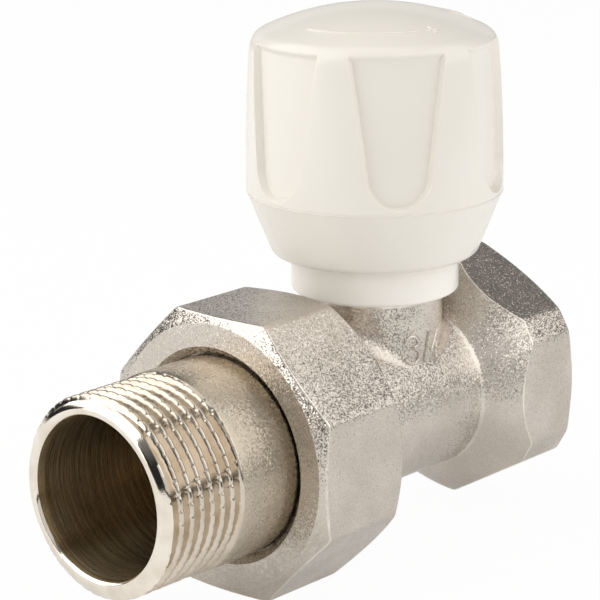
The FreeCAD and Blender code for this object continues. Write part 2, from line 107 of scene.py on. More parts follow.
def blastedNickelMaterial(look, name):
    material, tree = newMaterial(name)
    place = addNode(tree, "TexCoord").outputs["Object"]
    highlightBreakup, cloud, swell = (
        addNode(tree, "TexNoise", {"Vector": place, "Scale": perMm(look[key]), "Detail": detail})
        for key, detail in (("highlightBreakup", 3.0), ("cloud", 3.0), ("swell", 2.0)))
    highlightBreakup = addNode(tree, "MapRange", {"Value": highlightBreakup, **look["highlightBreakupRange"]})
    edges = addNode(tree, "Attribute", attribute_name="paintedHighlight").outputs["Fac"]  # 1 where a painted highlight is laid: edges, a crease and rims
    highlightShare = addNode(tree, "Math", {0: edges, 1: highlightBreakup}, operation="MULTIPLY")
    unhighlighted = addNode(tree, "Math", {0: highlightShare, 1: -look["highlightSmoothing"], 2: 1.0}, operation="MULTIPLY_ADD")
    dents = addNode(tree, "TexVoronoi", {"Vector": place, "Scale": perMm(look["dent"])}).outputs["Color"]
    lean = addNode(tree, "VectorMath", {0: dents, 1: (0.5, 0.5, 0.5)}, operation="SUBTRACT")
    for share in (2 * look["tilt"], unhighlighted):
        lean = addNode(tree, "VectorMath", {0: lean, "Scale": share}, operation="SCALE")
    face = addNode(tree, "NewGeometry").outputs["Normal"]
    lean = addNode(tree, "VectorMath", {0: face, 1: lean}, operation="ADD")
    lean = addNode(tree, "VectorMath", {0: lean}, operation="NORMALIZE")
    tone = addNode(tree, "ValToRGB", {"Fac": cloud}, look["tones"])
    patch = addNode(tree, "MapRange", {"Value": dents, **look["patches"]})
    both = {"Factor": 1.0, "A": tone, "B": patch}
    tone = addNode(tree, "Mix", both, data_type="RGBA", blend_type="MULTIPLY").outputs["Result"]
    # mix in the pale tone of the painted highlight
    both = {"Factor": highlightShare, "A": tone, "B": hexToLinear(look["edge"])}
    tone = addNode(tree, "Mix", both, data_type="RGBA").outputs["Result"]
    rough = addNode(tree, "MapRange", {"Value": swell, **noiseRange, **look["rough"]})
    bump = addNode(tree, "Bump", {"Height": swell, "Distance": look["depth"] * mm, "Normal": lean})
    return finishMaterial(material, tone, rough, bump, {"Metallic": 1})


# Nickel over turned faces, not blasted: bright, with fine tool lines round the axis and small pits
brightNickelLook = {
    "tones": [(0.35, "#E6DDD0"), (0.6, "#F1EAE0")], "stain": 3.0, "toolLine": 0.09, "lineLength": 4.0,
    "depth": 0.002, "pit": 0.16, "pitDepth": 0.004, "rough": {"To Min": 0.04, "To Max": 0.13},
}
# Nickel over cut threads: thinner and yellower, because the brass shows through on the flanks
threadNickelLook = {
    **brightNickelLook, "tones": [(0.35, "#CDC1B1"), (0.6, "#DAD0C3")],
    "depth": 0.003, "pit": 0.2, "pitDepth": 0.006, "rough": {"To Min": 0.08, "To Max": 0.17},
}


def brightNickelMaterial(look, name):
    material, tree = newMaterial(name)
    place = addNode(tree, "TexCoord").outputs["Object"]
    fine, long = perMm(look["toolLine"]), perMm(look["lineLength"])
    stretched = addNode(tree, "Mapping", {"Vector": place, "Scale": (fine, long, long)})
    lines = addNode(tree, "TexNoise", {"Vector": stretched, "Scale": 1.0, "Detail": 2.0})
    pits, stain = (
        addNode(tree, "TexNoise", {"Vector": place, "Scale": perMm(look[key]), "Detail": detail})
        for key, detail in (("pit", 1.0), ("stain", 3.0)))
    tone = addNode(tree, "ValToRGB", {"Fac": stain}, look["tones"])
    rough = addNode(tree, "MapRange", {"Value": lines, **look["rough"]})
    bump = addNode(tree, "Bump", {"Height": pits, "Distance": look["pitDepth"] * mm})
    bump = addNode(tree, "Bump", {"Height": lines, "Distance": look["depth"] * mm, "Normal": bump})
    return finishMaterial(material, tone, rough, bump, {"Metallic": 1})


# Brass, turned and left bare: brownish, with fine tool rings that smear its gloss along the axis
turnedBrassLook = {
    "tones": [(0.35, "#A7936F"), (0.65, "#CDBA99")], "ring": 0.2, "ringLength": 9.0, "bandScale": 0.6,
    "depth": 0.01, "rough": {"To Min": 0.2, "To Max": 0.36}, "stretch": 0.97,
}


def turnedBrassMaterial(look, name, axis):
    material, tree = newMaterial(name)
    place = addNode(tree, "TexCoord").outputs["Object"]
    fine, long = perMm(look["ring"]), perMm(look["ringLength"])
    scale = (fine, long, long) if axis == "X" else (long, long, fine)
    stretched = addNode(tree, "Mapping", {"Vector": place, "Scale": scale})
    rings, bands = (
        addNode(tree, "TexNoise", {"Vector": stretched, "Scale": scale, "Detail": detail})
        for scale, detail in ((1.0, 3.0), (look["bandScale"], 4.0)))
    tone = addNode(tree, "ValToRGB", {"Fac": bands}, look["tones"])
    rough = addNode(tree, "MapRange", {"Value": rings, **look["rough"]})
    bump = addNode(tree, "Bump", {"Height": rings, "Distance": look["depth"] * mm})
    aroundAxis = addNode(tree, "Tangent", direction_type="RADIAL", axis=axis)
    along = {"Anisotropic": look["stretch"], "Anisotropic Rotation": 0.25, "Tangent": aroundAxis}
    return finishMaterial(material, tone, rough, bump, {"Metallic": 1, **along})


# ABS, moulded in a lightly sparked tool: warm white with a soft gloss and a faint skin
mouldedAbsLook = {
    "tones": [(0.3, "#EEEAE1"), (0.7, "#F0ECE4")], "flow": 14.0, "skin": 0.3, "depth": 0.0002,
    "rough": {"To Min": 0.205, "To Max": 0.235}, "ior": 1.53,
}
# The collar's ABS gets a paler tone: painted light that brightens it in the shade under the wheel
collarPaintedLightLook = {**mouldedAbsLook, "tones": [(0.3, "#F9F5ED"), (0.7, "#FCF8F1")]}


def mouldedAbsMaterial(look, name):
    material, tree = newMaterial(name)
    place = addNode(tree, "TexCoord").outputs["Object"]
    skin, flow = (
        addNode(tree, "TexNoise", {"Vector": place, "Scale": perMm(look[key]), "Detail": 2.0})
        for key in ("skin", "flow"))
    tone = addNode(tree, "ValToRGB", {"Fac": flow}, look["tones"])
    rough = addNode(tree, "MapRange", {"Value": skin, **noiseRange, **look["rough"]})
    bump = addNode(tree, "Bump", {"Height": skin, "Distance": look["depth"] * mm})
    return finishMaterial(material, tone, rough, bump, {"IOR": look["ior"]})


# Small hidden parts, each with its own grain
smallLooks = {
    "mouldedNitrile": {  # black rubber, dull
        "tones": [(0.35, "#1C1B1A"), (0.65, "#2A2927")], "grain": 0.4, "depth": 0.01,
        "rough": {"To Min": 0.52, "To Max": 0.68}, "metal": 0, "ior": 1.52,
    },
    "pressedFibre": {  # red-brown, dry and matt
        "tones": [(0.35, "#6E4234"), (0.65, "#8A5A48")], "grain": 0.3, "depth": 0.02,
        "rough": {"To Min": 0.72, "To Max": 0.88}, "metal": 0, "ior": 1.5,
    },
    "skivedPtfe": {  # waxy white
        "tones": [(0.35, "#E4E4DF"), (0.65, "#F2F2EE")], "grain": 0.5, "depth": 0.005,
        "rough": {"To Min": 0.37, "To Max": 0.53}, "metal": 0, "ior": 1.35,
    },
    "zincSteel": {  # cool grey with a soft shine
        "tones": [(0.35, "#A7ABB0"), (0.65, "#C6C9CC")], "grain": 0.6, "depth": 0.004,
        "rough": {"To Min": 0.22, "To Max": 0.38}, "metal": 1, "ior": 1.5,
    },
}


def smallPartMaterial(look, name):
    material, tree = newMaterial(name)
    place = addNode(tree, "TexCoord").outputs["Object"]
    grain = addNode(tree, "TexNoise", {"Vector": place, "Scale": perMm(look["grain"]), "Detail": 3.0})
    tone = addNode(tree, "ValToRGB", {"Fac": grain}, look["tones"])
    rough = addNode(tree, "MapRange", {"Value": grain, **look["rough"]})
    bump = addNode(tree, "Bump", {"Height": grain, "Distance": look["depth"] * mm})
    return finishMaterial(material, tone, rough, bump, {"Metallic": look["metal"], "IOR": look["ior"]})


blastedNickel = blastedNickelMaterial(blastedNickelLook, "blastedNickel")
satinNickel = blastedNickelMaterial(satinNickelLook, "satinNickel")
brightNickel = brightNickelMaterial(brightNickelLook, "brightNickel")
threadNickel = brightNickelMaterial(threadNickelLook, "threadNickel")
boredBrass = turnedBrassMaterial(turnedBrassLook, "boredBrass", "X")
turnedBrass = turnedBrassMaterial(turnedBrassLook, "turnedBrass", "Z")
mouldedAbs = mouldedAbsMaterial(mouldedAbsLook, "mouldedAbs")
collarAbsPaintedLight = mouldedAbsMaterial(collarPaintedLightLook, "collarAbsPaintedLight")
small = {name: smallPartMaterial(look, name) for name, look in smallLooks.items()}
print("materials made:", len(bpy.data.materials))

curveSteps = 6  # rows in a softened corner
threadSteps = 10  # rows in one pitch of a hidden thread


def softenCorners(points, radii):
    # points is a list of (x, radius) arrays over the columns; a corner with a radius becomes a short curve
    widestTurn, shareOfSide = 2.9, 0.45  # limits that keep two curves from meeting
    rows = []
    for index, point in enumerate(points):
        if radii[index] == 0:
            rows.append(point)
            continue
        before, after = points[index - 1] - point, points[index + 1] - point
        toBefore, toAfter = np.linalg.norm(before, axis=-1), np.linalg.norm(after, axis=-1)
        before = before / np.maximum(toBefore, 1e-9)[..., None]
        after = after / np.maximum(toAfter, 1e-9)[..., None]
        turn = np.pi - np.arccos(np.clip((before * after).sum(-1), -1, 1))
        reach = radii[index] * np.tan(np.minimum(turn, widestTurn) / 2)
        reach = np.minimum(reach, shareOfSide * np.minimum(toBefore, toAfter))[..., None]
        for t in np.linspace(0, 1, curveSteps):
            rows.append(point + before * reach * (1 - t) ** 2 + after * reach * t ** 2)
    return rows


def addObject(name, data):
    made = bpy.data.objects.new(name, data)
    bpy.context.scene.collection.objects.link(made)
    return made


def gridMesh(name, rings, poles, materials, rowSlots=None, rowHighlight=None):
    # rings is rows x columns x 3; columns close on themselves, and each end on a pole or on the other end
    rows, columns = rings.shape[:2]
    rowSlots = rowSlots or [0] * rows
    vertices = rings.reshape(-1, 3)
    index = np.arange(rows * columns).reshape(rows, columns)
    nextColumn = np.roll(index, -1, axis=1)
    faces, slots = [], []
    for row in range(rows - 1 if poles else rows):
        other = (row + 1) % rows
        faces += np.stack([index[row], nextColumn[row], nextColumn[other], index[other]], axis=1).tolist()
        slots += [rowSlots[row]] * columns
    if poles:
        for point, row, flip in ((poles[0], 0, True), (poles[1], rows - 1, False)):
            vertices = np.vstack([vertices, point])
            tip = len(vertices) - 1
            for a, b in zip(index[row].tolist(), nextColumn[row].tolist()):
                faces.append([b, a, tip] if flip else [a, b, tip])
            slots += [rowSlots[row if flip else row - 1]] * columns
    mesh = bpy.data.meshes.new(name)
    mesh.from_pydata((vertices * mm).tolist(), [], faces)
    mesh.polygons.foreach_set("material_index", slots)
    mesh.polygons.foreach_set("use_smooth", [True] * len(faces))
    for material in materials:
        mesh.materials.append(material)
    # a share of painted highlight for each row, which the nickel material turns into a paler tone
    if rowHighlight is not None:
        paintedHighlight = np.repeat(np.asarray(rowHighlight, dtype=np.float32), columns)
        paintedHighlight = np.append(paintedHighlight, np.zeros(len(vertices) - len(paintedHighlight), dtype=np.float32))
        mesh.attributes.new("paintedHighlight", "FLOAT", "POINT").data.foreach_set("value", paintedHighlight)
    mesh.validate()
    mesh.update()
    solid = bmesh.new()
    solid.from_mesh(mesh)
    if solid.calc_volume(signed=True) < 0:  # faces look outward
        mesh.flip_normals()
    solid.free()
    return addObject(name, mesh)


def pipeRow(x, radius, angles):  # one (x, radius) for each angle round the pipe
    return np.stack([x + 0 * angles, radius + 0 * angles], axis=-1)


def alongPipe(x, radius, angles):
    return np.stack([x + 0 * angles, radius * np.cos(angles), radius * np.sin(angles)], axis=-1)


def pipeRings(rows, angles):
    return np.stack([alongPipe(row[:, 0], row[:, 1], angles) for row in rows])


def alongStem(radius, z, angles):
    return np.stack([stemX + radius * np.cos(angles), radius * np.sin(angles), z + 0 * angles], axis=-1)


def angleList(corners, reach):
    # angles round the axis, closer together near the corners of a polygon
    coarse, fine = 3, 0.5
    angles = list(np.arange(0, 360, coarse))
    for corner in corners:
        angles += list(corner + np.arange(-reach, reach + fine / 2, fine))
    angles = np.unique(np.round(np.mod(angles, 360), 3))
    gaps = np.diff(np.append(angles, angles[0] + 360))
    return np.radians(angles[gaps > fine * 0.45])


def softPolygon(angles, planes, sharpness):
    # radius of a polygon of (normal angle, distance) planes with its corners softened
    steepest = 0.2  # a plane that faces further away than this doesn't count
    total = 0
    for normal, distance in planes:
        facing = np.cos(angles - math.radians(normal))
        beyond = distance / np.maximum(facing, steepest) - planes[0][1]
        total = total + np.where(facing > steepest, np.exp(-sharpness * beyond), 0)
    return planes[0][1] - np.log(total) / sharpness


def threadForm(phase, crest, flank):
    # 1 on the crest, 0 in the root, for a phase that repeats every turn
    away = np.abs(np.mod(phase + 0.5, 1) - 0.5)
    return np.clip((crest / 2 + flank - away) / flank, 0, 1)


def finishPiece(piece, body, replaced, sharpAngle=40):
    piece.data.set_sharp_from_angle(angle=math.radians(sharpAngle))
    piece.modifiers.new("weightedNormals", "WEIGHTED_NORMAL").keep_sharp = True
    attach(piece, body)
    if replaced:
        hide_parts(*replaced)


def raisedLine(points, outward, width, height):
    # rings of a low closed ridge along points on a surface, sunk a little so that it grows out of it
    section = (  # shares of the width and the height
        (-0.5, -0.3), (-0.48, 0.3), (-0.32, 0.8), (0.0, 1.0),
        (0.32, 0.8), (0.48, 0.3), (0.5, -0.3), (0.0, -0.4),
    )
    along = np.gradient(points, axis=0)
    along /= np.linalg.norm(along, axis=1)[:, None]
    across = np.cross(outward, along)
    across /= np.linalg.norm(across, axis=1)[:, None]
    return np.stack([points + across * width * a + outward * height * b for a, b in section], axis=1)


def raisedMarks(name, lines, mark, material):
    joined = bmesh.new()
    for points, outward in lines:
        rings = raisedLine(points, outward, mark["width"], mark["height"])
        part = gridMesh(name, rings, (points[0], points[-1]), [material], None, [mark["paintedHighlight"]] * len(points))
        joined.from_mesh(part.data)
        bpy.data.meshes.remove(part.data)
    mesh = bpy.data.meshes.new(name)
    joined.to_mesh(mesh)
    joined.free()
    mesh.materials.append(material)
    return addObject(name, mesh)


def evenly(corners, step):
    # points a step apart along straight runs between corners
    corners = np.array(corners, dtype=float)
    done = np.concatenate([[0], np.cumsum(np.linalg.norm(np.diff(corners, axis=0), axis=1))])
    places = np.linspace(0, done[-1], max(3, int(done[-1] / step) + 1))
    return np.stack([np.interp(places, done, corners[:, k]) for k in range(corners.shape[1])], axis=-1)


def circleThrough(a, b, c):
    (ax, ay), (bx, by), (cx, cy) = a, b, c
    squares = [x * x + y * y for x, y in (a, b, c)]
    d = 2 * (ax * (by - cy) + bx * (cy - ay) + cx * (ay - by))
    x = (squares[0] * (by - cy) + squares[1] * (cy - ay) + squares[2] * (ay - by)) / d
    y = (squares[0] * (cx - bx) + squares[1] * (ax - cx) + squares[2] * (bx - ax)) / d
    return x, y, math.hypot(ax - x, ay - y)


# Union nut: octagon with soft edges, a shallow front cone, a 45 degree back edge and a cut thread inside
nutSize = {
    "front": -57.36, "rear": -41.86, "sides": 8, "flat": 18.75, "sharpness": 6.5, "cornerReach": 4.5,
    "edgeRound": 0.38, "face": 17.8, "faceAngle": 22, "faceRound": 0.5, "rearFace": 18.6, "rearRound": 0.3,
    "mouth": 14.66, "mouthDepth": 0.9, "mouthEdge": 0.02, "throat": 13.7, "shoulder": -54.5,
    "bore": 15.935, "boreRound": 0.15, "countersink": 1.1, "pitch": 2.309, "threadDepth": 0.9,
    "threadFrom": 1.2, "threadTo": 1.6, "runOutTo": 1.4, "runOut": 1.5, "crest": 0.12, "flank": 0.4,
    "faceHighlight": 0.25, "edgeHighlight": 0.7,
}


def unionNut(size):
    facing = [360 / size["sides"] * k for k in range(size["sides"])]
    angles = angleList([angle + 180 / size["sides"] for angle in facing], size["cornerReach"])
    flat = softPolygon(angles, [(angle, size["flat"]) for angle in facing], size["sharpness"])
    front, rear, shoulder, bore = (size[key] for key in ("front", "rear", "shoulder", "bore"))
    coneEnd = front + (flat - size["face"]) * math.tan(math.radians(size["faceAngle"]))
    corners = [  # (x, radius, rounding)
        (front, size["mouth"], 0), (front, size["face"], size["faceRound"]),
        (coneEnd, flat, size["edgeRound"]), (rear - (flat - size["rearFace"]), flat, size["edgeRound"]),
        (rear, size["rearFace"], size["rearRound"]), (rear, bore + size["threadDepth"], size["boreRound"]),
        (rear - size["countersink"], bore, 0),
    ]
    points = [pipeRow(x, radius, angles) for x, radius, soft in corners]
    rows = softenCorners(points, [soft for x, radius, soft in corners])
    paintedHighlight = [0] * 2 + [size["faceHighlight"]] * 4 + [0] * 2 + [size["edgeHighlight"]] * 4  # both rims of the cone get a painted highlight
    slots = [0] * (len(rows) - curveSteps - 1)
    for x in np.arange(rear - size["threadFrom"], shoulder + size["threadTo"], -size["pitch"] / threadSteps):
        cut = threadForm(x / size["pitch"] - angles / fullTurn, size["crest"], size["flank"])
        fade = min(1, (x - shoulder - size["runOutTo"]) / size["runOut"])
        rows.append(pipeRow(x, bore + size["threadDepth"] * cut * fade, angles))
    for x, radius in (
        (shoulder, bore), (shoulder, size["throat"]), (front + size["mouthDepth"], size["throat"]),
        (front + size["mouthEdge"], size["mouth"]),
    ):
        rows.append(pipeRow(x, radius, angles))
    slots += [1] * (len(rows) - len(slots) - 3) + [0] * 3
    paintedHighlight += [0] * (len(rows) - len(paintedHighlight))
    return gridMesh("unionNut", pipeRings(rows, angles), None, [blastedNickel, brightNickel], slots, paintedHighlight)


finishPiece(unionNut(nutSize), "nut", ["union_nut"])
print("union nut made")

# Tailpiece: tube with a tapered front edge, a right-hand thread with notched crests, a flange and a nose
tailSize = {
    "front": -79.54, "bore": 10.69, "mouthChamfer": 0.32, "edgeBreak": 0.02, "faceRing": 11.72,
    "chamfer": 0.75, "chamferTop": 13.1, "crest": 13.22, "root": 12.06, "pitch": 1.814, "pitchSteps": 14,
    "firstCrest": -77.26, "firstAngle": 165, "crestFlat": 0.18, "flank": 0.33, "crestSoft": 0.4,
    "notches": 46, "notchSteps": 14, "notchDepth": 0.11, "notchWidth": 0.22, "notchLean": 0.3,
    "notchSlant": 0.25, "tubeStart": -66.45, "tube": 13.4, "flankRise": 1.9, "flangeFront": -54.5,
    "flange": 15.035, "flangeEdge": 0.3, "union": -51.3,
    "nose": 10.9, "noseEnd": -47.7, "noseEdge": 0.4, "noseBore": 8.4,
    "groove": 9.55, "grooveFrom": -50.375, "grooveTo": -48.625,
}


def tailpiece(size):
    columns = size["notches"] * size["notchSteps"]
    angles = np.arange(columns) * fullTurn / columns
    front, bore, faceRing, mouthEdge = (size[key] for key in ("front", "bore", "faceRing", "mouthChamfer"))
    flangeFront, flange, union, nose = (size[key] for key in ("flangeFront", "flange", "union", "nose"))
    edgeBreak, flangeEdge, noseEdge = (size[key] for key in ("edgeBreak", "flangeEdge", "noseEdge"))

    def threadRow(x):
        turned = (angles - math.radians(size["firstAngle"])) / fullTurn
        phase = (x - size["firstCrest"]) / size["pitch"] - turned
        form = threadForm(phase, size["crestFlat"], size["flank"])
        form = (1 - size["crestSoft"]) * form + size["crestSoft"] * form * form * (3 - 2 * form)
        beat = size["notches"] * angles / fullTurn + size["notchLean"] * np.floor(phase + 0.5)
        beat = beat + size["notchSlant"] * np.mod(phase + 0.5, 1)
        away = (np.mod(beat, 1) - 0.5) * fullTurn * size["crest"] / size["notches"]
        notch = np.exp(-(away / size["notchWidth"]) ** 2) * form ** 3
        radius = size["root"] + (size["crest"] - size["root"]) * form - size["notchDepth"] * notch
        cone = faceRing + (x - front) * (size["chamferTop"] - faceRing) / size["chamfer"]
        runOut = size["tube"] - max(0, size["tubeStart"] - x) * size["flankRise"]
        return np.maximum(np.minimum(radius, cone), runOut)

    rows = [(union - 0.1, size["noseBore"] + 0.1, 2), (flangeFront, bore, 2)]  # (x, radius, material slot)
    rows += [(x, bore, 2) for x in np.linspace(flangeFront - 1, front + mouthEdge + 0.05, 14)]
    rows += [
        (front + mouthEdge, bore + edgeBreak, 1), (front + 2 * edgeBreak, bore + mouthEdge - edgeBreak, 1),
        (front, bore + mouthEdge + 2 * edgeBreak, 1), (front, faceRing - 0.1, 1),
        (front + 0.03, faceRing + edgeBreak, 1),
    ]
    for x in np.arange(front + 0.1, size["tubeStart"], size["pitch"] / size["pitchSteps"]):
        rows.append((x, threadRow(x), 1 if x < front + size["chamfer"] else 3))
    rows.append((size["tubeStart"] + 0.08, size["tube"] - 2 * edgeBreak, 0))
    rows += [(x, size["tube"], 0) for x in np.linspace(size["tubeStart"] + 0.25, flangeFront, 12)]
    rows += [
        (flangeFront, flange - flangeEdge, 1), (flangeFront + flangeEdge, flange, 1),
        (union - flangeEdge, flange, 1), (union, flange - flangeEdge, 1),
        (union, nose + edgeBreak, 1), (size["grooveFrom"], nose, 1),
        (size["grooveFrom"] + 0.01, size["groove"], 1), (size["grooveTo"] - 0.01, size["groove"], 1),
        (size["grooveTo"], nose, 1), (size["noseEnd"] - noseEdge, nose, 1),
        (size["noseEnd"], nose - noseEdge, 1), (size["noseEnd"], size["noseBore"], 1),
    ]
    rings = np.stack([alongPipe(x, radius, angles) for x, radius, slot in rows])
    materials = [satinNickel, brightNickel, boredBrass, threadNickel]
    return gridMesh("tailpiece_tube", rings, None, materials, [slot for x, radius, slot in rows])


finishPiece(tailpiece(tailSize), "tail", ["tailpiece"], 60)
print("tailpiece made")

# Valve body: hexagon socket with a cut thread, flare, barrel, union spigot and the neck for the bonnet
bodySize = {
    "socket": 12.06, "socketFloor": -11, "passage": 8.4, "lowEnd": -15.75, "highEnd": -34.85,
    "sides": 15.45, "slopes": 15.85, "bevels": 17.05, "ends": 18.35, "sharpness": 9.0, "cornerReach": 3.5,
    "tip": 18.2, "tipSharpness": 8, "face": 15.3, "faceRound": 0.35, "chamferAngle": 27, "edgeRound": 0.45,
    "flareTip": -7.63, "flareMiddle": (-12.1, 14.98), "filletEnd": (-15.365, 11.781), "flareFoot": -16.137,
    "fillet": 1.2, "barrel": 11.5, "spigotRear": -41.8, "spigotCone": 3.5, "spigot": 15.885,
    "unionFace": -51.3, "spigotChamfer": 1.0, "noseSocket": 11.0, "noseFloor": -47.3,
    "pipePitch": 1.814, "pipeDepth": 1.0, "pipeCrest": 0.15, "pipeFlank": 0.36, "pipeRunOut": 1.2,
    "countersink": 1.5, "mouthRound": 0.2,
    "unionPitch": 2.309, "unionDepth": 0.9, "unionCrest": 0.12, "unionFlank": 0.4, "unionRunOut": 1.6,
    "edgeHighlight": 0.95, "creaseHighlight": 0.4, "rimHighlight": [0, 0, 0, 0, 0.7, 0.9, 0.9, 0.3],
    "neck": 9.25, "neckTop": 17.5, "neckEdge": 0.4, "ring": 9.62, "ringBottom": 15.55, "ringTop": 16.2,
    "saddle": 3.0, "sunk": 0.03, "chamber": 7.55, "seatFloor": -0.3, "seatTop": 0.5, "lip": 6.3,
    "seatHole": 5.2, "web": -2.9,
}
hexagonPlanes = {  # degrees round the pipe that the planes of the hexagon face
    "sides": (0, 180), "slopes": (60, 120, 240, 300), "bevels": (30, 150, 210, 330), "ends": (90, 270),
}
hexagonCorners = {"bevels": 5.84, "ends": 2.26}  # degrees from the middle of a narrow plane to its corners
bodyMaterials = [blastedNickel, brightNickel, boredBrass]


def bodyShell(size):
    planes = [(angle, size[key]) for key, facing in hexagonPlanes.items() for angle in facing]
    corners = []
    for key, away in hexagonCorners.items():
        corners += [angle + turn for angle in hexagonPlanes[key] for turn in (-away, away)]
    angles = angleList(corners, size["cornerReach"])
    hexagon = softPolygon(angles, planes, size["sharpness"])
    blend, level = size["tipSharpness"], 16  # the corners end softly at the tip's radius
    hexagon = np.exp(-blend * (hexagon - level)) + np.exp(-blend * (size["tip"] - level))
    hexagon = -np.log(hexagon) / blend + level
    flareTip = size["flareTip"], size["tip"]
    centreX, centreR, bend = circleThrough(size["filletEnd"], size["flareMiddle"], flareTip)
    socket, floor, face = (size[key] for key in ("socket", "socketFloor", "face"))
    spigot, rear, union = (size[key] for key in ("spigot", "spigotRear", "unionFace"))

    def flareX(radius):
        return centreX - np.sqrt(bend ** 2 - (radius - centreR) ** 2)

    rows, slots, paintedHighlight = [], [], []

    def addRow(x, radius, slot, highlightShare=0):
        rows.append(pipeRow(x, radius, angles))
        slots.append(slot)
        paintedHighlight.append(highlightShare)

    for x, radius in ((size["lowEnd"], size["passage"]), (floor, size["passage"]), (floor, socket)):
        addRow(x, radius, 2)
    for x in np.arange(floor + size["pipeRunOut"], -0.2, size["pipePitch"] / threadSteps):
        cut = threadForm(x / size["pipePitch"] - angles / fullTurn, size["pipeCrest"], size["pipeFlank"])
        fade = min(1, (x - floor - size["pipeRunOut"]) / size["pipeRunOut"])
        cone = socket + max(0, x + size["countersink"])
        addRow(x, np.maximum(socket + size["pipeDepth"] * cut * fade, cone), 1)
    chamferEnd = -(hexagon - face) * math.tan(math.radians(size["chamferAngle"]))
    outer = [
        (0, socket + size["countersink"], size["mouthRound"]), (0, face, size["faceRound"]),
        (chamferEnd, hexagon, size["edgeRound"]), (flareX(hexagon), hexagon, size["edgeRound"]),
    ]
    flare = [hexagon + (size["filletEnd"][1] - hexagon) * t for t in np.linspace(0, 1, 9)[1:]]
    flareRows = [pipeRow(flareX(radius), radius, angles) for radius in flare]
    points = [rows[-1]] + [pipeRow(x, radius, angles) for x, radius, soft in outer] + [flareRows[0]]
    softRows = softenCorners(points, [0] + [soft for x, radius, soft in outer] + [0])[1:]
    rows += softRows
    slots += [0] * len(softRows)
    highlightRows = [size["edgeHighlight"]] * 4  # the middle rows of the hexagon's two softened edges get a painted highlight
    paintedHighlight += [0] * 13 + highlightRows + [0] * 2 + highlightRows + [0] * (len(softRows) - 23)
    for row in flareRows[1:]:
        addRow(row[:, 0], row[:, 1], 0)
    slope = math.asin((size["filletEnd"][0] - size["flareFoot"]) / size["fillet"])
    # the fillet's rows get a painted highlight, a pale line along the crease
    for t in np.linspace(1, 0, 7)[1:]:
        x = size["flareFoot"] + size["fillet"] * math.sin(slope * t)
        addRow(x, size["barrel"] + size["fillet"] * (1 - math.cos(slope * t)), 0, size["creaseHighlight"])
    for x in np.linspace(size["flareFoot"], rear + size["spigotCone"], 16)[1:]:
        addRow(x, size["barrel"], 0)
    addRow(rear, spigot, 0)
    for x in np.arange(rear - 0.3, union, -size["unionPitch"] / threadSteps):
        cut = threadForm(x / size["unionPitch"] - angles / fullTurn, size["unionCrest"], size["unionFlank"])
        fade = min(1, (rear - x) / size["unionRunOut"])
        taper = spigot - max(0, union + size["spigotChamfer"] - x)
        addRow(x, np.minimum(spigot - size["unionDepth"] * cut * fade, taper), 1)
    addRow(union, spigot - size["spigotChamfer"], 1)
    for x, radius in (
        (union, size["noseSocket"]), (size["noseFloor"], size["noseSocket"]),
        (size["noseFloor"], size["passage"]), (size["highEnd"], size["passage"]),
    ):
        addRow(x, radius, 2)
    poles = [np.array([size[end], 0, 0]) for end in ("lowEnd", "highEnd")]
    return gridMesh("valveBody", pipeRings(rows, angles), poles, bodyMaterials, slots, paintedHighlight)


def neckShell(size):
    # neck with a rolling-ball saddle down to the barrel; its foot dips just under the barrel's skin
    angles = np.radians(np.arange(0, 360, 2.5))
    neck, neckTop, edge = (size[key] for key in ("neck", "neckTop", "neckEdge"))
    ring, ringTop, ringBottom = (size[key] for key in ("ring", "ringTop", "ringBottom"))
    barrel = size["barrel"] - size["sunk"]
    out = neck + size["saddle"]
    ballZ = np.sqrt((barrel + size["saddle"]) ** 2 - (out * np.sin(angles)) ** 2)
    ball = np.stack([out * np.cos(angles), out * np.sin(angles), ballZ], axis=-1)
    toNeck = np.stack([-np.cos(angles), -np.sin(angles), 0 * angles], axis=-1)
    toBarrel = -ball * [0, 1, 1] / (barrel + size["saddle"])
    spread = np.arccos(np.clip((toNeck * toBarrel).sum(-1), -1, 1))[:, None]
    rim = [
        (neck - edge, neckTop), (neck, neckTop - edge), (neck, ringTop), (ring - 0.1, ringTop),
        (ring, ringTop - 0.1), (ring, ringBottom + 0.25), (ring - 0.08, ringBottom + 0.1), (neck, ringBottom),
    ]
    rings = [np.stack([r * np.cos(angles), r * np.sin(angles), z + 0 * angles], axis=-1) for r, z in rim]
    for t in np.linspace(0, 1, 13):
        aim = (np.sin((1 - t) * spread) * toNeck + np.sin(t * spread) * toBarrel) / np.sin(spread)
        rings.append(ball + aim * size["saddle"])
    saddleEnd = rings[-1]
    for depth in (0.25, 0.6):
        foot = saddleEnd.copy()
        foot[:, 1:] *= 1 - depth * 0.12
        rings.append(foot)
    rings = np.stack(rings) + [stemX, 0, 0]
    poles = [np.array([stemX, 0, neckTop]), np.array([stemX, 0, 2.0])]
    # the ring under the collar gets a painted highlight
    paintedHighlight = size["rimHighlight"] + [0] * (len(rings) - len(rim))
    return gridMesh("neckShell", rings, poles, bodyMaterials, None, paintedHighlight)


